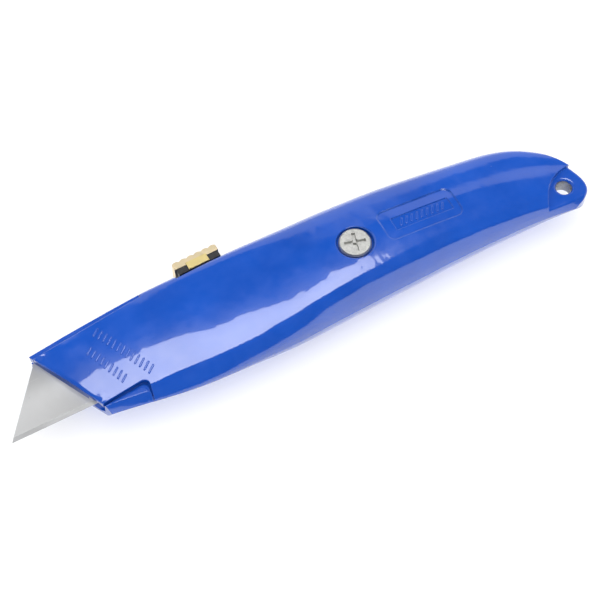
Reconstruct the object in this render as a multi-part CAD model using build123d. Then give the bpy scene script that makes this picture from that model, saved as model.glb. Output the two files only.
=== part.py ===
from build123d import *
import math
import os

os.makedirs("parts", exist_ok=True)

# Retractable utility knife with a two-piece die-cast handle, lying on its side.
# All lengths in mm.
#
# Plan coordinates used while building:
#   u  distance behind the blade tip, along the cutting edge (nose -> tail)
#   v  distance from the cutting edge toward the thumb button
#   w  height above the plane where the two casing halves meet
# At export everything moves so that the screw axis is at x = y = 0 and the
# flat the knife rests on is z = 0.

# ---------------------------------------------------------------- dimensions
SCREW_U, SCREW_V = 101.8, 6.0      # casing screw axis
REST_W = 9.2                       # rest flat below the meeting plane
PART_GAP = 0.02                    # each half stops this far from the meeting plane
WALL = 1.5                         # casing wall

BLADE_L, BLADE_H, BLADE_T = 61.0, 19.0, 0.63
BLADE_CUT = 14.3                   # length lost at each slanted end
BEVEL_W, BEVEL_T = 1.1, 0.27
NOTCH_MID, NOTCH_OFF = 30.5, 3.2   # locating notches in the back of the blade
NOTCH_WIDE, NOTCH_DEEP = 2.4, 3.0

TRAVEL = 28.0                      # blade travel
PRESS = 0.85                       # thumb button travel
DETENTS = (0.0, 9.3, 18.7, 28.0)

HEAD_R, HEAD_LOW, HEAD_TOP = 4.47, 7.55, 9.2
SHANK_R, SHANK_END = 1.95, -5.6
CBORE_R, CBORE_W = 4.95, 7.5
CBORE_LIP = 1.2                    # rounding of the counterbore mouth
HOLE_R = 2.15                      # lanyard hole
HOLE_LIP = 0.95                    # rounding of its mouths
HOLE_U, HOLE_V = 163.45, -2.2
TONGUE_W = 2.6                     # half thickness of the tail tongue
TONGUE_U, TONGUE_V, TONGUE_R = 169.0, -11.5, 14.4

# nose face: u = NOSE_U + (NOSE_V - v) * NOSE_K
NOSE_U, NOSE_V, NOSE_K = 13.75, 18.1, 0.5074

# Stations of the outer skin of one half.
# u, far edge, (v, w) where the face has tilted 15 deg toward the far edge,
# crown v, crown w, ridge v, ridge w, (v, w) where the belly has tilted 60 deg,
# belly edge, far corner inset and height, ridge radius, tilt before and after it
TAB = [
    (6.0, 18.6, 17.4, 3.25, 12.0, 3.60, -0.2, 3.00, -1.6, 0.60, -1.8, 0.30, 2.75, 0.5, 6, 40),
    (20.0, 20.15, 18.95, 3.32, 12.0, 3.75, -1.9, 3.10, -3.5, 0.40, -3.6, 0.30, 2.85, 0.5, 6, 40),
    (30.0, 21.2, 20.0, 3.50, 14.0, 4.28, -2.9, 3.35, -5.3, 0.30, -5.4, 0.30, 3.10, 0.6, 8, 41),
    (37.0, 21.9, 20.5, 3.75, 13.5, 4.62, -3.4, 3.62, -6.6, 0.20, -6.65, 0.35, 3.25, 0.8, 10, 41),
    (47.0, 23.0, 19.7, 4.30, 10.5, 5.25, -4.0, 4.15, -7.95, 0.70, -8.1, 0.60, 3.00, 1.2, 12, 42),
    (57.0, 23.7, 16.4, 4.95, 7.5, 6.00, -5.0, 4.80, -8.50, 1.10, -8.65, 0.90, 2.80, 1.5, 14, 42),
    (68.0, 23.65, 13.6, 6.10, 4.5, 7.20, -5.4, 5.60, -8.35, 2.45, -8.9, 1.00, 3.30, 1.8, 15, 43),
    (77.0, 23.4, 13.0, 7.20, 4.5, 8.30, -5.1, 6.90, -8.00, 3.90, -9.0, 1.10, 3.80, 2.0, 15, 44),
    (88.0, 23.05, 12.5, 8.30, 4.5, 9.35, -4.4, 8.25, -6.45, 6.50, -8.45, 1.20, 4.20, 2.0, 14, 46),
    (97.0, 22.85, 12.0, 8.70, 4.5, 9.75, -3.9, 8.75, -5.75, 7.20, -8.1, 1.20, 4.40, 2.2, 14, 48),
    (104.0, 22.55, 11.4, 8.85, 4.5, 9.85, -3.6, 8.80, -5.45, 7.30, -7.8, 1.20, 4.50, 2.4, 14, 48),
    (115.0, 21.95, 10.2, 8.85, 4.5, 9.75, -3.0, 8.75, -5.25, 6.95, -7.45, 1.20, 4.50, 3.0, 14, 46),
    (126.0, 20.85, 8.9, 8.50, 4.2, 9.30, -2.6, 8.25, -5.05, 6.50, -7.05, 1.15, 4.40, 4.0, 15, 44),
    (141.0, 19.15, 6.6, 7.80, 3.5, 8.20, -2.9, 7.05, -5.35, 5.45, -6.95, 1.10, 4.00, 4.0, 16, 43),
    (151.0, 17.7, 5.6, 6.45, 2.5, 6.85, -3.6, 5.80, -5.90, 4.40, -7.15, 1.00, 3.50, 3.5, 15, 42),
    (158.0, 15.3, 4.8, 5.10, 1.5, 5.50, -4.5, 4.60, -6.60, 3.30, -7.75, 0.90, 3.00, 2.8, 14, 42),
    (163.0, 12.2, 3.8, 4.20, 0.5, 4.55, -5.0, 3.80, -7.20, 2.60, -8.45, 0.80, 2.50, 2.2, 13, 42),
    (167.0, 9.0, 2.6, 3.65, -1.0, 3.90, -5.4, 3.35, -7.50, 2.20, -8.70, 0.70, 2.20, 2.0, 12, 42),
    (172.0, 6.5, 1.5, 3.15, -1.5, 3.30, -5.6, 2.90, -7.60, 1.90, -8.8, 0.60, 1.90, 1.8, 10, 42),
]


def bez(p, q, a, b, n):
    """Points of an arc-like cubic from p toward q; a and b are the tilts there."""
    d = math.hypot(q[0] - p[0], q[1] - p[1])
    th = math.radians(abs(a - b))
    k = d * (1 / 3 if th < 1e-3 else (4 / 3 * math.tan(th / 4)) / (2 * math.sin(th / 2)))
    ta = (-math.cos(math.radians(a)), math.sin(math.radians(a)))
    tb = (-math.cos(math.radians(b)), math.sin(math.radians(b)))
    c1 = (p[0] + k * ta[0], p[1] + k * ta[1])
    c2 = (q[0] - k * tb[0], q[1] - k * tb[1])
    out = []
    for i in range(n):
        t = i / n
        s = 1 - t
        out.append(tuple(s ** 3 * p[j] + 3 * s * s * t * c1[j] + 3 * s * t * t * c2[j] + t ** 3 * q[j] for j in (0, 1)))
    return out


def section(row):
    """(v, w) points of one half's skin, far edge to belly edge."""
    u, yt, yu, hu, yc, h, yr, wr, yl, wl, yb, t1, h1, rho, pin, pout = row
    d = rho * (math.sin(math.radians(pout)) - math.sin(math.radians(pin)))
    e = rho * (math.cos(math.radians(pin)) - math.cos(math.radians(pout)))
    near = (0.35 if u < 72 else 0.2) * pin     # tilt where the face starts to roll over
    run = 2.4 if u < 50 else (3.6 if u < 72 else 2.6)
    ym = yr + d / 2 + run
    wm = wr + e / 2 + run * math.tan(math.radians((pin + near) / 2))
    if u > 50:
        top = wm + (yc - ym) * math.tan(math.radians(near / 2))
        hu, h = hu + (top - h) * 0.6, top
    else:
        near = pin * 0.75
        wm = h - (h - wr - e / 2) * ((yc - ym) / (yc - yr - d / 2)) ** 1.6
    nod = [(yt, 0, 88), (yt - t1, h1, 59), (yu, hu, 15), (yc, h, 0), (ym, wm, -near),
           (yr + d / 2, wr + e / 2, -pin), (yr - d / 2, wr - e / 2, -pout), (yl, wl, -60), (yb, 0, -86)]
    out = []
    for a, b, n in zip(nod[:-1], nod[1:], (3, 6, 3, 2, 3, 2, 4, 4)):
        out += bez(a[:2], b[:2], a[2], b[2], n)
    out.append((yb, 0.0))
    return out


def inner(row, t, n=22):
    """The skin section moved inward by t and respaced."""
    p = section(row)
    off = [(p[0][0] - t, 0.0)]
    for i in range(1, len(p) - 1):
        ty, tz = p[i + 1][0] - p[i - 1][0], p[i + 1][1] - p[i - 1][1]
        m = math.hypot(ty, tz)
        q = (p[i][0] + t * tz / m * -1 * -1, p[i][1] + t * ty / m)
        q = (p[i][0] - t * tz / m, p[i][1] + t * ty / m)
        if q[1] > 0.15 and min(math.hypot(q[0] - a[0], q[1] - a[1]) for a in p) > t - 0.06:
            off.append(q)
    off.append((p[-1][0] + t, 0.0))
    s = [0.0]
    for a, b in zip(off[:-1], off[1:]):
        s.append(s[-1] + math.hypot(b[0] - a[0], b[1] - a[1]))
    out = []
    for i in range(n):
        x = s[-1] * i / (n - 1)
        j = max(k for k in range(len(s) - 1) if s[k] <= x + 1e-9)
        f = min(1.0, (x - s[j]) / (s[j + 1] - s[j]))
        out.append((off[j][0] + f * (off[j + 1][0] - off[j][0]), off[j][1] + f * (off[j + 1][1] - off[j][1])))
    return out


def loft_of(rows, side):
    wires = []
    for u, pts in rows:
        pp = [Vector(u, y, side * z) for y, z in pts]
        wires.append(Wire([Edge.make_spline(pp), Edge.make_line(pp[-1], pp[0])]))
    s = Solid.make_loft(wires, False)
    return s


def far_edge(u):
    for a, b in zip(TAB[:-1], TAB[1:]):
        if a[0] <= u <= b[0]:
            return a[1] + (b[1] - a[1]) * (u - a[0]) / (b[0] - a[0])
    return TAB[-1][1]


def prism(pts, w0, w1):
    f = Plane.XY.offset(w0) * make_face(Polyline(*pts, close=True))
    return extrude(f, amount=w1 - w0)


def box(u0, u1, v0, v1, w0, w1):
    return Pos((u0 + u1) / 2, (v0 + v1) / 2, (w0 + w1) / 2) * Box(u1 - u0, v1 - v0, w1 - w0)


def rod(u, v, r, w0, w1):
    return Pos(u, v, (w0 + w1) / 2) * Cylinder(r, w1 - w0)


def solid_of(s):
    """The largest solid of a result."""
    b = sorted(s.solids(), key=lambda x: x.volume)[-1]
    return b


def place(s):
    return Pos(-SCREW_U, -SCREW_V, REST_W) * s


def export(name, s):
    s.label = name
    export_step(s, f"parts/{name}.step")
    bb = s.bounding_box()
    print(f"{name:24s} solids {len(s.solids())} vol {sum(x.volume for x in s.solids()):9.1f} valid {s.is_valid} "
          f"x {bb.min.X:.2f}..{bb.max.X:.2f} y {bb.min.Y:.2f}..{bb.max.Y:.2f} z {bb.min.Z:.2f}..{bb.max.Z:.2f}")


# ---------------------------------------------------------------- outer skins
skin = {s: loft_of([(r[0], section(r)) for r in TAB], s) for s in (1, -1)}
hollow_rows = [(r[0], inner(r, WALL)) for r in TAB if 20 <= r[0] <= 158]
hollow = {s: loft_of(hollow_rows, s) for s in (1, -1)}
# the hollow starts behind the nose and stops short of the tail
hollow = {s: hollow[s] & box(22.0, 155.5, -30, 40, -20, 20) for s in hollow}

# plan outline of the nose and the tail
nose_cut = prism([(NOSE_U + (NOSE_V - 40) * NOSE_K, 40), (NOSE_U + (NOSE_V + 20) * NOSE_K, -20), (-40, -20), (-40, 40)], -20, 20)
tail_line = Spline((150, 24.0), (159.5, 14.6), (164.7, 9.0), (167.3, 5.2), (169.1, 0.4), (169.65, -3.0),
                   (168.9, -5.8), (167.0, -7.5), (164.0, -8.5), (158, -9.6), (150, -13))
tail_face = make_face(tail_line.edges() + Polyline((150, -13), (185, -13), (185, 24), (150, 24)).edges())
tail_cut = Plane.XY.offset(-20) * tail_face
tail_cut = extrude(tail_cut, amount=40)

# tail tongue: everything outside +-TONGUE_W goes within a circle
def tongue(side):
    return rod(TONGUE_U, TONGUE_V, TONGUE_R, TONGUE_W if side > 0 else -20, 20 if side > 0 else -TONGUE_W)


# notch in the upper half at the bottom of the nose, and the tab that fills it
def rounded(pts, i, r, n=10):
    """Polygon with its corner i replaced by an arc of radius r."""
    p, a, c = pts[i], pts[i - 1], pts[(i + 1) % len(pts)]
    ua = Vector(a[0] - p[0], a[1] - p[1]).normalized()
    uc = Vector(c[0] - p[0], c[1] - p[1]).normalized()
    half = math.acos(max(-1, min(1, ua.dot(uc)))) / 2
    m = (ua + uc).normalized() * (r / math.sin(half)) + Vector(*p)
    t = r / math.tan(half)
    s0, s1 = Vector(*p) + ua * t - m, Vector(*p) + uc * t - m
    a0, a1 = math.atan2(s0.Y, s0.X), math.atan2(s1.Y, s1.X)
    while a1 - a0 > math.pi:
        a1 -= 2 * math.pi
    while a1 - a0 < -math.pi:
        a1 += 2 * math.pi
    arc = [(m.X + r * math.cos(a0 + (a1 - a0) * k / n), m.Y + r * math.sin(a0 + (a1 - a0) * k / n)) for k in range(n + 1)]
    return pts[:i] + arc + pts[i + 1:]


def corner_cut(pts, r, grow=0.0):
    """Face of a polygon, its second corner rounded, offset outward by grow."""
    f = make_face(Polyline(*pts, close=True))
    if grow:
        f = offset(f, grow, kind=Kind.INTERSECTION)
    v = max(f.vertices(), key=lambda q: q.X + q.Y)
    return fillet(v, r)


NOTCH_P = [(10, -3.5), (37.3, -1.27), (35.4, -14), (10, -14)]
TAB_GAP = 0.42
notch = extrude(Plane.XY.offset(-1) * corner_cut(NOTCH_P, 1.7), amount=14)
# rounded mouth of the notch and rounded top of the tab, as three facets each
tab = extrude(Plane.XY.offset(-1) * corner_cut(NOTCH_P, 1.4, -TAB_GAP), amount=3.1)
for k, (g, w) in enumerate(((0.10, 2.35), (0.30, 2.55), (0.62, 2.68))):
    tab += extrude(Plane.XY.offset(0) * corner_cut(NOTCH_P, 1.4, -TAB_GAP - g), amount=w)

# lip of the lower half along the far edge of the nose
lip_u = [8, 20, 30, 37, 41, 45.5]
lip = prism([(u, far_edge(u) - 1.55) for u in lip_u] + [(45.85, 21.8), (45.88, 22.4), (45.88, 40), (8, 40)], -1, 2.4)
lip_u2 = [8, 20, 30, 37, 41, 45.95]
lip_cut = prism([(u, far_edge(u) - 1.80) for u in lip_u2] + [(45.95, 40), (8, 40)], -1, 20)

def mouth(u, v, r, lip, w, side):
    """Cutter that rounds the mouth of a hole of radius r at height w, in facets."""
    pts = [(0, -0.6), (r - 0.02, -0.6)]
    for k in range(1, 8):
        a = math.radians(90 * k / 8)
        pts.append((r + lip * (1 - math.cos(a)), -lip * (1 - math.sin(a))))
    pts += [(r + lip + 0.5, 0.14), (r + lip + 2.0, 0.9), (0, 0.9)]
    pts = [(x, z if z > -0.6 or x > 0 else z) for x, z in pts]
    pts[0] = (0, -lip - 0.1)
    pts[1] = (r - 0.02, -lip - 0.1)
    f = Plane.XZ * make_face(Polyline(*pts, close=True))
    b = revolve(f, Axis.Z)
    return Pos(u, v, w * side) * (b if side > 0 else Rot(180, 0, 0) * b)


# blade channel shared by both halves
channel = box(5, 95, -0.5, 19.4, -0.45, 0.45)

# thumb slot: a sunk bed for the button and a narrower slot for its stem
slot_bed = box(56.6, 99.3, 21.4, 40, -3.85, 3.85)
slot_stem = box(60.8, 97.2, 19.0, 40, -1.6, 1.6)

# detent notches under the rail that frames the slot
TOOTH_U = 70.6
rack = None
for d in DETENTS:
    b = box(TOOTH_U + d - 1.0, TOOTH_U + d + 1.0, 19.0, 20.4, -3.2, -1.5)
    rack = b if rack is None else rack + b

# ---------------------------------------------------------------- lower casing half
low = skin[-1] - hollow[-1]
inside = rod(SCREW_U, SCREW_V, 3.4, -12, -PART_GAP)
inside += box(58, 103.5, 19.4, 23, -8, -PART_GAP)
inside += rod(50, -3.2, 2.3, -9, -PART_GAP) + rod(152, -2.5, 2.3, -9, -PART_GAP)
inside += box(27, 96, 3.0, 4.2, -9, -1.75) + box(27, 96, 13.0, 14.2, -9, -1.75)
inside += box(118, 119.4, -8, 24, -12, -2.3) + box(138, 139.4, -8, 24, -12, -2.3)
inside += rod(114.0, -3.9, 1.7, -12, -0.35)
low = low + (inside & skin[-1])
upper_bits = (lip + tab) & skin[1]
low = solid_of(low - box(0, 200, -40, 40, -PART_GAP, 5))
low = low + (upper_bits & box(0, 60, -40, 40, -0.5, 5)) + (box(8, 45.5, -12, 40, -0.6, 0.02) & (lip + tab) & (skin[-1] + skin[1]))
low = low + rod(50, -3.2, 1.2, -2, 2.2) + rod(152, -2.5, 1.2, -2, 2.2)
low = low - nose_cut - tail_cut - tongue(-1)
low = low - channel - slot_bed - slot_stem - rack
low = low - rod(SCREW_U, SCREW_V, 2.0, -6.4, 5) - rod(HOLE_U, HOLE_V, HOLE_R, -20, 20)
low = low - rod(114.0, -3.9, 0.62, -3.0, 5)
low = low - (mouth(HOLE_U, HOLE_V, HOLE_R, HOLE_LIP, TONGUE_W, -1) & rod(HOLE_U, HOLE_V, HOLE_R + HOLE_LIP + 0.4, -5, 0))
low = low - box(0, 200, -60, 60, -30, -REST_W)

# pocket for the spare blades
SP_U, SP_V, SP_A = 99.5, 20.0, -8.0


def trapezoid(grow=0.0):
    """Spare blade outline, long edge on the far side."""
    pts = [(-grow * 1.9, grow), (BLADE_L + grow * 1.9, grow), (BLADE_L - BLADE_CUT + grow * 0.5, -BLADE_H - grow), (BLADE_CUT - grow * 0.5, -BLADE_H - grow)]
    a = math.radians(SP_A)
    return [(SP_U + x * math.cos(a) - y * math.sin(a), SP_V + x * math.sin(a) + y * math.cos(a)) for x, y in pts]


low = low - prism(trapezoid(0.3), -2.3, 5)
low = solid_of(low)

# ---------------------------------------------------------------- upper casing half
up = skin[1] - hollow[1]
inside = rod(SCREW_U, SCREW_V, 6.0, PART_GAP, 12)
inside += box(58, 103.5, 19.4, 23, PART_GAP, 8)
inside += rod(50, -3.2, 2.4, PART_GAP, 9) + rod(152, -2.5, 2.4, PART_GAP, 9)
inside += box(27, 94, 3.0, 4.2, 0.45, 9) + box(27, 94, 13.0, 14.2, 0.45, 9)
up = up + (inside & skin[1])
up = up - box(0, 200, -40, 40, -5, PART_GAP)
up = up - nose_cut - tail_cut - tongue(1)
up = up - lip_cut - notch - channel - slot_bed - slot_stem
up = up - rod(50, -3.2, 1.35, -1, 2.6) - rod(152, -2.5, 1.35, -1, 2.6)
up = up - rod(SCREW_U, SCREW_V, 2.2, -1, 20) - rod(SCREW_U, SCREW_V, CBORE_R, CBORE_W, 20)
up = up - rod(HOLE_U, HOLE_V, HOLE_R, -20, 20)
up = up - mouth(SCREW_U, SCREW_V, CBORE_R, CBORE_LIP, 9.78, 1)
up = up - (mouth(HOLE_U, HOLE_V, HOLE_R, HOLE_LIP, TONGUE_W, 1) & rod(HOLE_U, HOLE_V, HOLE_R + HOLE_LIP + 0.4, 0, 5))

# sunk label panel following the crowned face, with a second sunk field inside
def panel(cu, cv, l, h, r, ang, depth):
    f = RectangleRounded(l, h, r) if r > 0 else Rectangle(l, h)
    b = extrude(Plane.XY.offset(5) * f, amount=8)
    b = Pos(cu, cv, 0) * Rot(0, 0, ang) * b
    return b - Pos(0, 0, -depth) * skin[1]


for g, d in ((0.0, 0.09), (0.14, 0.18), (0.30, 0.26)):
    up = up - panel(121.5, 5.8, 22.5 - 2 * g, 10.2 - 2 * g, 2.2 - g, -2.75, d)
up = up - panel(122.05, 5.45, 17.2, 4.1, 0.3, -2.5, 0.5)
up = solid_of(up)


def skin_height(u, v, side):
    """Height of the outer skin over a plan point."""
    hits = skin[side].find_intersection_points(Axis((u, v, 0), (0, 0, side)))
    return max(abs(h[0].Z) for h in hits)


def nose_round(side, r=0.62, vs=(-3.4, -2.2, 0.5, 4, 8, 12, 16, 18.2, 19.3)):
    """Cutter that rounds the edge between the nose face and the outer face."""
    k = math.hypot(1, NOSE_K)
    wires = []
    for v in vs:
        vv = min(max(v, -2.0), 18.6)
        uu = NOSE_U + (NOSE_V - vv) * NOSE_K
        w = skin_height(uu + 0.02, vv, side) - 0.0
        u = NOSE_U + (NOSE_V - v) * NOSE_K
        pts = [(0.0, 0.0)]
        arc = [(r * (1 - math.cos(math.radians(a))), r * (1 - math.sin(math.radians(a)))) for a in (12, 31, 50, 69, 82)]
        x0, z0 = arc[0]
        x1, z1 = arc[-1]
        pts = [(-0.8, z0 + (x0 + 0.8) * 3.6)] + arc + [(x1 + 1.6, z1 - 0.40), (-0.8, -1.2)]
        wires.append(Wire.make_polygon([Vector(u + a * (1 / k), v + a * (NOSE_K / k), side * (w - z)) for a, z in pts], close=True))
    return Solid.make_loft(wires, True)


for side in (1, -1):
    cut = nose_round(side)
    if side > 0:
        up = up - cut
    else:
        low = low - cut


def edges_where(body, test):
    out = []
    for e in body.edges():
        pts = [e.position_at(t) for t in (0.02, 0.25, 0.5, 0.75, 0.98)]
        if all(test(p) for p in pts):
            out.append(e)
    return out


def soften(body, edges, radii, what):
    """Rounds the edges with the first radius that gives a sound solid."""
    for r in radii:
        try:
            b = body.fillet(r, edges)
            if b.is_valid:
                print("rounded", what, r)
                return b
        except Exception:
            pass
    print("left sharp:", what, len(edges))
    return body


for side in (1, -1):
    b = solid_of(up if side > 0 else low)
    rim = edges_where(b, lambda p: p.X > 155.0 and abs(side * p.Z - TONGUE_W) < 0.02
                      and math.hypot(p.X - TONGUE_U, p.Y - TONGUE_V) < TONGUE_R + 0.01
                      and math.hypot(p.X - HOLE_U, p.Y - HOLE_V) > HOLE_R + HOLE_LIP + 0.3
                      and not abs(math.hypot(p.X - TONGUE_U, p.Y - TONGUE_V) - TONGUE_R) < 0.005)
    b = soften(b, rim, (0.8, 0.5), f"tongue rim {side}")
    if side > 0:
        up = b
    else:
        low = b

up = solid_of(up)
low = solid_of(low)
export("upper_casing_half", place(up))
export("lower_casing_half", place(low))

# ---------------------------------------------------------------- casing screw
screw = rod(SCREW_U, SCREW_V, HEAD_R, HEAD_LOW, HEAD_TOP)
screw = chamfer(screw.edges().filter_by(lambda e: e.center().Z > HEAD_TOP - 0.01), 0.42)
screw += rod(SCREW_U, SCREW_V, SHANK_R, SHANK_END, HEAD_LOW + 0.1)
cross = Box(5.8, 1.0, 2.2) + Box(1.0, 5.8, 2.2)
cross = Pos(SCREW_U, SCREW_V, HEAD_TOP) * Rot(0, 0, -16.5) * cross
tip = Pos(SCREW_U, SCREW_V, HEAD_TOP - 0.9) * Cone(0.2, 0.95, 1.8)
screw = solid_of(screw - (cross & rod(SCREW_U, SCREW_V, 2.95, 7.6, 10)) - tip)
export("casing_screw", place(screw))

# ---------------------------------------------------------------- blade
def blade_solid(t):
    b = prism([(0, 0), (BLADE_L, 0), (BLADE_L - BLADE_CUT, BLADE_H), (BLADE_CUT, BLADE_H)], -t / 2, t / 2)
    for s in (-1, 1):
        b = b - box(NOTCH_MID + s * NOTCH_OFF - NOTCH_WIDE / 2, NOTCH_MID + s * NOTCH_OFF + NOTCH_WIDE / 2,
                    BLADE_H - NOTCH_DEEP, BLADE_H + 1, -2, 2)
        wedge = Plane.YZ.offset(-5) * make_face(Polyline((-1, s * (t / 2 - BEVEL_T) - s * BEVEL_T / BEVEL_W), (BEVEL_W, s * t / 2), (BEVEL_W, s * 2), (-1, s * 2), close=True))
        b = b - extrude(wedge, amount=BLADE_L + 10)
    return solid_of(b)


export("blade", place(blade_solid(BLADE_T)))

# spare blades, stacked in the rear of the lower half
for i in range(3):
    top = -0.25 - i * (BLADE_T + 0.05)
    b = blade_solid(BLADE_T)
    b = Rot(180, 0, 0) * b             # cutting edge to the far side
    b = Pos(SP_U, SP_V, top - BLADE_T / 2) * Rot(0, 0, SP_A) * b
    export(f"spare_blade_{i + 1}", place(b))

# clip that holds the spare blades down, and its rivet
clip = box(0, 13.0, -1.8, 1.8, 0, 0.35)
clip = clip + box(11.0, 13.0, -1.8, 1.8, -0.12, 0.1) if False else clip
clip = fillet(clip.edges().filter_by(Axis.Z), 1.2)
clip = clip - rod(1.9, 0, 0.64, -1, 2)
clip = Pos(112.9, -5.45, -0.2) * Rot(0, 0, 54) * clip
export("spare_blade_clip", place(solid_of(clip)))
riv = rod(114.0, -3.9, 0.6, -2.6, 0.3) + rod(114.0, -3.9, 1.15, 0.2, 0.75)
riv = fillet(riv.edges().filter_by(lambda e: e.center().Z > 0.7), 0.3)
export("clip_rivet", place(solid_of(riv)))

# ---------------------------------------------------------------- blade carrier
car = prism([(25.0, 17.8), (32.0, 1.5), (68.0, 1.5), (68.0, 16.0), (56.5, 16.0), (56.5, 17.8)], -1.56, -0.36)
car += box(49.6, 56.5, 16.4, 17.9, -1.56, 2.2)
for s in (-1, 1):
    car += box(NOTCH_MID + s * NOTCH_OFF - 0.95, NOTCH_MID + s * NOTCH_OFF + 0.95, 16.25, 17.8, -1.0, 0.3)
# two lightening windows and a stiffening bead in the plate
car -= Pos(43, 8.5, 0) * extrude(Plane.XY.offset(-3) * SlotOverall(12, 5), amount=6)
car -= Pos(59, 8.5, 0) * extrude(Plane.XY.offset(-3) * SlotOverall(11, 5), amount=6)
for u in (51.4, 54.5):
    car -= Pos(u, 17, 0) * Rot(90, 0, 0) * Cylinder(0.64, 6)
export("blade_carrier", place(solid_of(car)))

# ---------------------------------------------------------------- detent spring
spr = box(49.7, 71.25, 17.95, 18.35, -2.6, 2.6)
spr += box(70.0, 71.2, 18.0, 20.05, -2.6, -1.8)
spr -= box(57.5, 60.5, 17, 19, -1.2, 1.2)
for u in (51.4, 54.5):
    spr -= Pos(u, 18, 0) * Rot(90, 0, 0) * Cylinder(0.64, 6)
export("detent_spring", place(solid_of(spr)))
rv = None
for u in (51.4, 54.5):
    r = Pos(u, 17.45, 0) * Rot(90, 0, 0) * Cylinder(0.6, 2.0)
    h = Pos(u, 18.65, 0) * Rot(90, 0, 0) * Cylinder(1.05, 0.52)
    h = fillet(h.edges().filter_by(lambda e: e.center().Y > 18.85), 0.3)
    rv = Compound([solid_of(r + h)]) if rv is None else Compound(list(rv.solids()) + [solid_of(r + h)])
export("spring_rivets", place(rv))

# ---------------------------------------------------------------- thumb button
BT_U0, BT_U1 = 57.45, 70.55
core = box(61.2, 68.8, 18.4, 19.15, -2.5, 2.5)
core += box(61.4, 68.6, 18.8, 23.0, -1.4, 1.4)
head = Pos((BT_U0 + BT_U1) / 2 + 0.1, 0, 0) * box(-6.2, 6.2, 22.6, 24.45, -3.35, 3.35)
core += head
core = solid_of(core)
LOW_CAP = 24.5
# brass cap: scalloped thumb face, folded ends and a tab on each side of the core
n = 6
pitch = (BT_U1 - BT_U0) / n
prof = [(BT_U0, LOW_CAP)]
for i in range(n):
    u0 = BT_U0 + i * pitch
    prof += [(u0, 26.2), (u0 + 0.16 * pitch, 26.42), (u0 + 0.36 * pitch, 26.60), (u0 + 0.64 * pitch, 26.60), (u0 + 0.84 * pitch, 26.42)]
prof += [(BT_U1, 26.2), (BT_U1, LOW_CAP)]
cap = prism(prof, -3.5, 3.5)
cap += box(60.9, 67.0, 22.75, 25, 3.38, 3.72) + box(60.9, 67.0, 22.75, 25, -3.72, -3.38)
cap = solid_of(cap)
tilt = 1.7
pivot = (64.0, 24.0)


def tilted(s):
    return Pos(pivot[0], pivot[1], 0) * Rot(0, 0, tilt) * Pos(-pivot[0], -pivot[1], 0) * s


head_only = core & box(40, 80, 22.6, 30, -10, 10)
stem_only = core & box(40, 80, 0, 23.4, -1.4 - 2, 1.4 + 2)
core = solid_of((box(61.2, 68.8, 18.4, 19.15, -2.5, 2.5) + box(61.4, 68.6, 18.8, 23.4, -1.4, 1.4)) + tilted(head))
export("button_core", place(core))
export("button_cap", place(tilted(cap)))
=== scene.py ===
import math
import bpy
import numpy as np
from mathutils import Matrix, Vector


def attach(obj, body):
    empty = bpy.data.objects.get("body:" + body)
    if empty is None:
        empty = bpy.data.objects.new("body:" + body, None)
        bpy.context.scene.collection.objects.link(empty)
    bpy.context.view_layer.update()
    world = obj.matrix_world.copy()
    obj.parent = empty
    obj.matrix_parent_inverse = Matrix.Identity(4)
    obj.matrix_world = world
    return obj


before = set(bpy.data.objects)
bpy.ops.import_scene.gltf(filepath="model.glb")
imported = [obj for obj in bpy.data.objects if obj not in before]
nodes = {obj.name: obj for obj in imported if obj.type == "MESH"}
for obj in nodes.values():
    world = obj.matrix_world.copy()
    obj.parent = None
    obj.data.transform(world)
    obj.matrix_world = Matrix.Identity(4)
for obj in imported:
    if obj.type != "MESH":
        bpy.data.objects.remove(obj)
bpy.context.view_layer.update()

MM = 0.001
SCREW_U, SCREW_V, REST_W = 101.8, 6.0, 9.2   # plan coordinates -> row frame, mm
scene = bpy.context.scene


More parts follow.
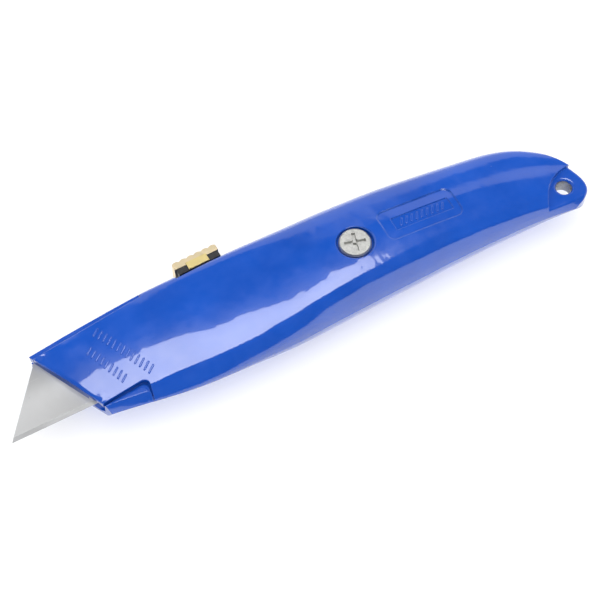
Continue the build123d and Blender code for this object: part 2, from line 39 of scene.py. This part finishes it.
# ------------------------------------------------------------------ materials
class Mat:
    """A node material with short helpers."""

    def __init__(self, name):
        self.m = bpy.data.materials.new(name)
        self.m.use_nodes = True
        self.t = self.m.node_tree
        self.t.nodes.clear()
        self.out = self.t.nodes.new("ShaderNodeOutputMaterial")
        self.p = self.t.nodes.new("ShaderNodeBsdfPrincipled")
        self.t.links.new(self.p.outputs[0], self.out.inputs["Surface"])
        self.co = self.t.nodes.new("ShaderNodeTexCoord").outputs["Object"]

    def set(self, **k):
        for a, v in k.items():
            self.p.inputs[a.replace("_", " ")].default_value = v
        return self

    def link(self, a, b):
        self.t.links.new(a, b)

    def node(self, kind, **k):
        n = self.t.nodes.new(kind)
        for a, v in k.items():
            setattr(n, a, v)
        return n

    def mapping(self, scale=(1, 1, 1), rot=(0, 0, 0), loc=(0, 0, 0), src=None):
        n = self.node("ShaderNodeMapping")
        n.inputs["Scale"].default_value = scale
        n.inputs["Rotation"].default_value = rot
        n.inputs["Location"].default_value = loc
        self.link(src or self.co, n.inputs["Vector"])
        return n.outputs[0]

    def noise(self, scale, detail=2.0, rough=0.5, src=None, dist=0.0, dim="3D"):
        n = self.node("ShaderNodeTexNoise", noise_dimensions=dim)
        n.inputs["Scale"].default_value = scale
        n.inputs["Detail"].default_value = detail
        n.inputs["Roughness"].default_value = rough
        n.inputs["Distortion"].default_value = dist
        self.link(src or self.co, n.inputs["Vector"])
        return n.outputs["Fac"]

    def voronoi(self, scale, feature="F1", out="Distance", src=None):
        n = self.node("ShaderNodeTexVoronoi", feature=feature)
        n.inputs["Scale"].default_value = scale
        self.link(src or self.co, n.inputs["Vector"])
        return n.outputs[out]

    def ramp(self, fac, stops, interp="LINEAR"):
        n = self.node("ShaderNodeValToRGB")
        n.color_ramp.interpolation = interp
        e = n.color_ramp.elements
        while len(e) < len(stops):
            e.new(0.5)
        for i, (pos, c) in enumerate(stops):
            e[i].position = pos
            e[i].color = c if len(c) == 4 else (*c, 1)
        self.link(fac, n.inputs["Fac"])
        return n.outputs["Color"]

    def val(self, fac, lo, hi, a=0.0, b=1.0, smooth=False):
        n = self.node("ShaderNodeMapRange", interpolation_type="SMOOTHSTEP" if smooth else "LINEAR")
        for i, v in enumerate((lo, hi, a, b)):
            n.inputs[i + 1].default_value = v
        self.link(fac, n.inputs[0])
        return n.outputs[0]

    def math(self, op, a, b=None, clamp=False):
        n = self.node("ShaderNodeMath", operation=op, use_clamp=clamp)
        for i, v in enumerate((a, b)):
            if v is None:
                continue
            if isinstance(v, (int, float)):
                n.inputs[i].default_value = v
            else:
                self.link(v, n.inputs[i])
        return n.outputs[0]

    def vmath(self, op, a, b=None, out=0):
        n = self.node("ShaderNodeVectorMath", operation=op)
        for i, v in enumerate((a, b)):
            if v is None:
                continue
            if isinstance(v, tuple):
                n.inputs[i].default_value = v
            else:
                self.link(v, n.inputs[i])
        return n.outputs[out]

    def mix(self, fac, a, b, mode="MIX"):
        n = self.node("ShaderNodeMix", data_type="RGBA", blend_type=mode)
        for s, v in ((0, fac), (6, a), (7, b)):
            if isinstance(v, (int, float)):
                n.inputs[s].default_value = v
            elif isinstance(v, tuple):
                n.inputs[s].default_value = v if len(v) == 4 else (*v, 1)
            else:
                self.link(v, n.inputs[s])
        return n.outputs[2]

    def bump(self, height, dist, strength=1.0, normal=None):
        n = self.node("ShaderNodeBump")
        n.inputs["Strength"].default_value = strength
        n.inputs["Distance"].default_value = dist
        self.link(height, n.inputs["Height"])
        if normal is not None:
            self.link(normal, n.inputs["Normal"])
        return n.outputs[0]

    def bevel(self, radius, samples=6):
        n = self.node("ShaderNodeBevel", samples=samples)
        n.inputs["Radius"].default_value = radius
        return n.outputs[0]

    def to(self, socket, src):
        self.link(src, self.p.inputs[socket])


def blue_enamel():
    m = Mat("blue_enamel")
    m.set(Metallic=0.0, Roughness=0.22, IOR=1.5, Coat_Weight=1.0, Coat_Roughness=0.03, Coat_IOR=1.55)
    bev = m.bevel(0.30 * MM, 8)
    # the seam between the halves stays a plain gap
    zz = m.node("ShaderNodeSeparateXYZ")
    m.link(m.co, zz.inputs[0])
    seam = m.val(m.math("ABSOLUTE", m.math("SUBTRACT", zz.outputs[2], 9.2 * MM)), 0.45 * MM, 0.30 * MM)
    away = m.math("MULTIPLY", seam, m.val(zz.outputs[0], -62 * MM, -60 * MM))
    vm = m.node("ShaderNodeMix", data_type="VECTOR")
    m.link(away, vm.inputs[0])
    m.link(bev, vm.inputs[4])
    m.link(m.node("ShaderNodeNewGeometry").outputs["Normal"], vm.inputs[5])
    bev = m.vmath("NORMALIZE", vm.outputs[1])
    # edge mask: where the rounded normal leaves the true one
    geo = m.node("ShaderNodeNewGeometry")
    dot = m.vmath("DOT_PRODUCT", bev, geo.outputs["Normal"], out=1)
    edge = m.val(dot, 0.995, 0.86, 0.0, 1.0)
    cloud = m.noise(60.0, 4.0, 0.6)
    col = m.mix(m.val(cloud, 0.3, 0.7), (0.004, 0.066, 0.415), (0.006, 0.084, 0.50))
    # thin paint on edges shows a little paler, with the cast metal almost through
    thin = m.math("MULTIPLY", edge, m.val(m.noise(420.0, 3.0, 0.6), 0.42, 0.62))
    col = m.mix(m.math("MULTIPLY", thin, 0.30), col, (0.06, 0.19, 0.66))
    # dust specks trapped in the paint
    spots = m.voronoi(310.0)
    pick = m.noise(95.0, 1.0, 0.4)
    speck = m.math("MULTIPLY", m.val(spots, 0.045, 0.02), m.val(pick, 0.60, 0.66))
    col = m.mix(m.math("MULTIPLY", speck, 0.55), col, (0.16, 0.26, 0.62))
    # bare cast metal inside the lanyard hole
    sep = m.node("ShaderNodeSeparateXYZ")
    m.link(m.co, sep.inputs[0])
    hx = m.math("SUBTRACT", sep.outputs[0], 61.65 * MM)
    hy = m.math("SUBTRACT", sep.outputs[1], -8.2 * MM)
    rr = m.math("SQRT", m.math("ADD", m.math("MULTIPLY", hx, hx), m.math("MULTIPLY", hy, hy)))
    wob = m.math("MULTIPLY", m.noise(900.0, 2.0, 0.6), 0.35 * MM)
    bare = m.val(m.math("SUBTRACT", rr, wob), 2.16 * MM, 2.02 * MM)
    col = m.mix(bare, col, m.mix(m.noise(2600.0, 3.0, 0.6), (0.20, 0.21, 0.22), (0.52, 0.53, 0.54)))
    m.to("Base Color", col)
    m.to("Metallic", m.math("MULTIPLY", bare, 0.85))
    m.to("Coat Weight", m.math("SUBTRACT", 1.0, bare, True))
    rough = m.val(m.noise(240.0, 3.0, 0.6), 0.3, 0.7, 0.16, 0.27)
    m.to("Roughness", m.math("MAXIMUM", rough, m.math("MULTIPLY", bare, 0.42)))
    peel = m.noise(520.0, 2.0, 0.45)
    broad = m.noise(120.0, 1.0, 0.4)
    n1 = m.bump(broad, 0.010 * MM, 0.35, bev)
    n2 = m.bump(peel, 0.010 * MM, 0.55, n1)
    n3 = m.bump(speck, 0.03 * MM, 0.8, n2)
    m.to("Normal", n3)
    m.to("Coat Normal", n3)
    return m.m


def blade_steel():
    m = Mat("blade_steel_ground")
    m.set(Metallic=1.0, Anisotropic=0.35)
    grain = m.noise(1.0, 5.0, 0.65, m.mapping((260.0, 9000.0, 2000.0)))
    cross = m.noise(1.0, 3.0, 0.6, m.mapping((5200.0, 240.0, 900.0), rot=(0, 0, 0.35)))
    cloud = m.noise(75.0, 4.0, 0.6)
    col = m.mix(m.val(cloud, 0.3, 0.72), (0.50, 0.503, 0.508), (0.58, 0.583, 0.588))
    col = m.mix(m.math("MULTIPLY", m.val(grain, 0.35, 0.7), 0.25), col, (0.64, 0.645, 0.65))
    m.to("Base Color", col)
    m.to("Roughness", m.math("ADD", m.val(grain, 0.3, 0.75, 0.36, 0.48), m.val(cloud, 0.3, 0.7, 0.0, 0.08)))
    n = m.bump(grain, 0.0035 * MM, 0.5)
    n = m.bump(cross, 0.002 * MM, 0.35, n)
    sep = m.node("ShaderNodeSeparateXYZ")
    m.link(m.co, sep.inputs[0])
    off = m.math("ABSOLUTE", m.math("SUBTRACT", m.math("ADD", sep.outputs[1], m.math("MULTIPLY", m.noise(90.0, 1.0), 0.5 * MM)), 7.9 * MM))
    # painted shade: the ground bevel strip along the edge is painted dark grey, which holds back its bright reflection
    # of the softbox
    ground = m.val(sep.outputs[1], -4.86 * MM, -4.96 * MM)
    col = m.mix(m.math("MULTIPLY", ground, 0.62), col, (0.16, 0.162, 0.165))
    line = m.math("MULTIPLY", m.val(off, 0.16 * MM, 0.04 * MM), m.val(m.noise(170.0, 2.0, 0.6), 0.40, 0.60))
    dots = m.math("MULTIPLY", m.val(m.voronoi(420.0), 0.10, 0.06), m.val(m.noise(150.0, 1.0), 0.60, 0.64))
    n = m.bump(line, 0.010 * MM, 0.7, n)
    n = m.bump(dots, 0.02 * MM, 0.8, n)
    col = m.mix(m.math("MULTIPLY", line, 0.35), col, (0.85, 0.85, 0.86))
    col = m.mix(m.math("MULTIPLY", dots, 0.5), col, (0.30, 0.30, 0.31))
    m.to("Base Color", col)
    m.to("Normal", n)
    return m.m


def brass():
    m = Mat("brass_stamped")
    m.set(Metallic=1.0)
    bev = m.bevel(0.12 * MM, 5)
    cloud = m.noise(260.0, 4.0, 0.6)
    col = m.mix(m.val(cloud, 0.3, 0.7), (0.86, 0.64, 0.30), (0.95, 0.77, 0.42))
    col = m.mix(m.math("MULTIPLY", m.val(m.noise(1500.0, 3.0, 0.7), 0.60, 0.74), 0.25), col, (0.50, 0.34, 0.14))
    sep = m.node("ShaderNodeSeparateXYZ")
    m.link(m.co, sep.inputs[0])
    side = m.math("ABSOLUTE", m.math("SUBTRACT", sep.outputs[2], 9.2 * MM))
    tab_painted_light_mask = m.val(side, 3.56 * MM, 3.66 * MM)
    # painted light: on one brass, the cap is painted paler and the side tabs a brighter gold, painted highlights for
    # how each catches the light
    col = m.mix(m.math("MULTIPLY", m.math("SUBTRACT", 1.0, tab_painted_light_mask), 0.55), col, (0.93, 0.82, 0.62))
    col = m.mix(m.math("MULTIPLY", tab_painted_light_mask, 0.7), col, (1.0, 0.84, 0.36))
    m.to("Base Color", col)
    m.to("Roughness", m.val(m.noise(700.0, 4.0, 0.6), 0.3, 0.7, 0.30, 0.44))
    n = m.bump(m.noise(1.0, 4.0, 0.6, m.mapping((900.0, 7000.0, 900.0))), 0.003 * MM, 0.4, bev)
    m.to("Normal", n)
    return m.m


def black_plastic():
    m = Mat("black_moulded_plastic")
    m.set(Metallic=0.0, IOR=1.49)
    bev = m.bevel(0.15 * MM, 5)
    cloud = m.noise(400.0, 3.0, 0.6)
    m.to("Base Color", m.mix(m.val(cloud, 0.3, 0.7), (0.012, 0.012, 0.014), (0.032, 0.032, 0.036)))
    m.to("Roughness", m.val(m.noise(1800.0, 3.0, 0.6), 0.3, 0.7, 0.34, 0.52))
    m.to("Normal", m.bump(m.noise(4200.0, 2.0, 0.5), 0.008 * MM, 0.4, bev))
    return m.m


def zinc_plate():
    m = Mat("zinc_plated_steel")
    m.set(Metallic=1.0)
    bev = m.bevel(0.10 * MM, 5)
    cells = m.voronoi(2600.0, out="Color")
    grain = m.node("ShaderNodeRGBToBW")
    m.link(cells, grain.inputs[0])
    fine = m.noise(5200.0, 3.0, 0.7)
    col = m.mix(m.val(grain.outputs[0], 0.2, 0.8), (0.60, 0.605, 0.585), (0.74, 0.74, 0.715))
    col = m.mix(m.math("MULTIPLY", m.val(fine, 0.62, 0.74), 0.30), col, (0.34, 0.35, 0.31))
    m.to("Base Color", col)
    m.to("Roughness", m.val(grain.outputs[0], 0.1, 0.9, 0.34, 0.46))
    n = m.bump(fine, 0.004 * MM, 0.4, bev)
    n = m.bump(grain.outputs[0], 0.002 * MM, 0.3, n)
    m.to("Normal", n)
    return m.m


def plain_steel(name, lo, hi, r0, r1, sx=300.0, sy=6000.0):
    m = Mat(name)
    m.set(Metallic=1.0)
    bev = m.bevel(0.08 * MM, 4)
    grain = m.noise(1.0, 4.0, 0.6, m.mapping((sx, sy, 1500.0)))
    cloud = m.noise(160.0, 4.0, 0.6)
    col = m.mix(m.val(cloud, 0.3, 0.7), lo, hi)
    col = m.mix(m.math("MULTIPLY", m.val(m.noise(1200.0, 3.0, 0.7), 0.6, 0.72), 0.5), col, tuple(c * 0.45 for c in lo))
    m.to("Base Color", col)
    m.to("Roughness", m.val(grain, 0.3, 0.7, r0, r1))
    m.to("Normal", m.bump(grain, 0.004 * MM, 0.5, bev))
    return m.m


MATS = {
    "blue_paint": blue_enamel(),
    "blade_steel": blade_steel(),
    "brass": brass(),
    "black_plastic": black_plastic(),
    "zinc_plate": zinc_plate(),
    "spring_steel": plain_steel("spring_steel_strip", (0.30, 0.31, 0.33), (0.48, 0.49, 0.51), 0.22, 0.36),
    "carrier_steel": plain_steel("carrier_sheet_steel", (0.26, 0.26, 0.27), (0.40, 0.40, 0.41), 0.30, 0.48),
}
for o in nodes.values():
    for i, s in enumerate(o.data.materials):
        o.data.materials[i] = MATS[s.name.split(".")[0]]


# ------------------------------------------------------------------ raised marks
from mathutils.bvhtree import BVHTree


def surface(node):
    me = nodes[node].data
    return BVHTree.FromPolygons([v.co.copy() for v in me.vertices], [tuple(p.vertices) for p in me.polygons])


cover_tree = surface("upper_casing_half")


def embossed(name, bars, height, body, slot, tree, flat=0.0, n=9, m=17):
    """Rounded raised bars that follow the face under them, as one mesh.
    bars: (u, v, length, width, angle in degrees) in plan mm."""
    verts, faces = [], []
    for u, v, length, width, ang in bars:
        a = math.radians(ang)
        ax, ay = math.cos(a), math.sin(a)
        r = width / 2
        base = len(verts)
        for i in range(m):
            # rounded ends: points bunch where the outline turns
            s = math.sin(math.pi * (i / (m - 1) - 0.5))
            x = s * length / 2
            over = max(0.0, abs(x) - (length / 2 - r))
            half = math.sqrt(max(r * r - over * over, (0.10 * r) ** 2))
            for j in range(n):
                t = math.sin(math.pi * (j / (n - 1) - 0.5))
                y = t * half
                px = (u - SCREW_U + x * ax - y * ay) * MM
                py = (v - SCREW_V + x * ay + y * ax) * MM
                hit = tree.ray_cast(Vector((px, py, 0.05)), Vector((0, 0, -1)))[0]
                z = hit.z if hit else REST_W * MM
                d = min(1.0, math.hypot(over, abs(y)) / r if over else abs(y) / r)
                rise = (1 - d ** (3.0 + 2 * flat)) if d < 1 else 0.0
                if i in (0, m - 1) or j in (0, n - 1):
                    rise = -0.35
                verts.append((px, py, z + height * MM * rise))
        for i in range(m - 1):
            for j in range(n - 1):
                q = base + i * n + j
                faces.append((q, q + n, q + n + 1, q + 1))
    me = bpy.data.meshes.new(name)
    me.from_pydata(verts, [], faces)
    me.shade_smooth()
    me.materials.append(MATS[slot])
    o = bpy.data.objects.new(name, me)
    scene.collection.objects.link(o)
    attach(o, body)
    return o


def row(p, q, count, length, width, ang):
    return [(p[0] + (q[0] - p[0]) * k / (count - 1), p[1] + (q[1] - p[1]) * k / (count - 1), length, width, ang)
            for k in range(count)]


embossed("nose_ribs", row((27.3, 12.4), (31.9, 1.2), 9, 2.7, 0.62, 38) + row((31.0, 16.6), (39.0, 0.2), 13, 2.9, 0.62, 38),
         0.17, "cover", "blue_paint", cover_tree)
LA = math.radians(-2.5)
embossed("label_bars", [(122.05 + k * 1.55 * math.cos(LA), 5.45 + k * 1.55 * math.sin(LA), 2.9, 0.72, 58) for k in range(-4, 5)],
         0.20, "cover", "blue_paint", cover_tree, flat=1.0)


# ------------------------------------------------------------------ stage
def floor():
    me = bpy.data.meshes.new("studio_floor")
    s = 4.0
    me.from_pydata([(-s, -s, -0.00002), (s, -s, -0.00002), (s, s, -0.00002), (-s, s, -0.00002)], [], [(0, 1, 2, 3)])
    o = bpy.data.objects.new("studio_floor", me)
    scene.collection.objects.link(o)
    m = Mat("studio_paper")
    m.set(Roughness=0.85)
    m.to("Base Color", m.mix(m.noise(4.0, 2.0), (0.90, 0.90, 0.90), (0.93, 0.93, 0.93)))
    me.materials.append(m.m)
    return o


floor()


def area(name, loc, aim, size, power, colour=(1, 1, 1), size_y=None):
    l = bpy.data.lights.new(name, "AREA")
    l.shape = "RECTANGLE"
    l.size = size
    l.size_y = size_y or size
    l.energy = power
    l.color = colour
    o = bpy.data.objects.new(name, l)
    scene.collection.objects.link(o)
    o.location = loc
    o.rotation_mode = "QUATERNION"
    o.rotation_quaternion = (Vector(aim) - Vector(loc)).to_track_quat("-Z", "Y")
    return o


# a softbox overhead
key = area("softbox_key", (0.137, 0.098, 1.30), (0.137, 0.098, 0.0), 0.585, 1.0, size_y=0.845)
key.rotation_mode = "XYZ"
key.rotation_euler = (0, 0, 0)
key.data.energy = 5.4 * math.pi * 0.585 * 0.845
key.data.use_shadow = False
# broad fill that lights without showing as a reflection
fill = area("fill_top", (-0.1, -0.2, 1.6), (0, 0, 0), 3.4, 7.0)
fill.visible_glossy = False
fill.visible_camera = False

world = bpy.data.worlds.new("studio")
scene.world = world
world.use_nodes = True
wt = world.node_tree
wt.nodes.clear()
wo = wt.nodes.new("ShaderNodeOutputWorld")
bg = wt.nodes.new("ShaderNodeBackground")
wt.links.new(bg.outputs[0], wo.inputs[0])
tc = wt.nodes.new("ShaderNodeTexCoord")
sp = wt.nodes.new("ShaderNodeSeparateXYZ")
wt.links.new(tc.outputs["Generated"], sp.inputs[0])
# What the gloss sees: a white wall low down behind the tool, dark above it and in front.
def wnode(kind, **k):
    n = wt.nodes.new(kind)
    for x, y in k.items():
        setattr(n, x, y)
    return n


def wrange(src, lo, hi):
    n = wnode("ShaderNodeMapRange", interpolation_type="SMOOTHSTEP")
    n.inputs[1].default_value, n.inputs[2].default_value = lo, hi
    wt.links.new(src, n.inputs[0])
    return n.outputs[0]


def wmath(op, x, y):
    n = wnode("ShaderNodeMath", operation=op)
    for i, v in enumerate((x, y)):
        if isinstance(v, (int, float)):
            n.inputs[i].default_value = v
        else:
            wt.links.new(v, n.inputs[i])
    return n.outputs[0]


dt = wnode("ShaderNodeVectorMath", operation="DOT_PRODUCT")
dt.inputs[1].default_value = (0.48, 0.877, 0.0)
wt.links.new(tc.outputs["Generated"], dt.inputs[0])
low = wrange(sp.outputs[2], 0.58, 0.50)
front = wrange(dt.outputs["Value"], -0.25, 0.05)
wall = wmath("ADD", wmath("MULTIPLY", wmath("MULTIPLY", low, front), 0.62), 0.035)
lp = wnode("ShaderNodeLightPath")
strength = wmath("ADD", wmath("MULTIPLY", lp.outputs["Is Glossy Ray"], wall),
                 wmath("MULTIPLY", wmath("SUBTRACT", 1.0, lp.outputs["Is Glossy Ray"]), 0.85))
bg.inputs[0].default_value = (1, 1, 1, 1)
wt.links.new(strength, bg.inputs[1])

scene.view_settings.view_transform = "Standard"

# ------------------------------------------------------------------ camera
cam = bpy.data.cameras.new("camera")
cam.lens = 90.0
cam.sensor_width = 36.0
cam.clip_start, cam.clip_end = 0.01, 20.0
co = bpy.data.objects.new("camera", cam)
scene.collection.objects.link(co)
right = Vector((0.87734334, -0.47986318, 0.0))
up = Vector((0.41132302, 0.75203002, 0.51503807))
back = Vector((-0.24714781, -0.45186522, 0.8571673))
co.matrix_world = Matrix((
    (right.x, up.x, back.x, -0.116652),
    (right.y, up.y, back.y, -0.183038),
    (right.z, up.z, back.z, 0.349071),
    (0, 0, 0, 1),
))
scene.camera = co
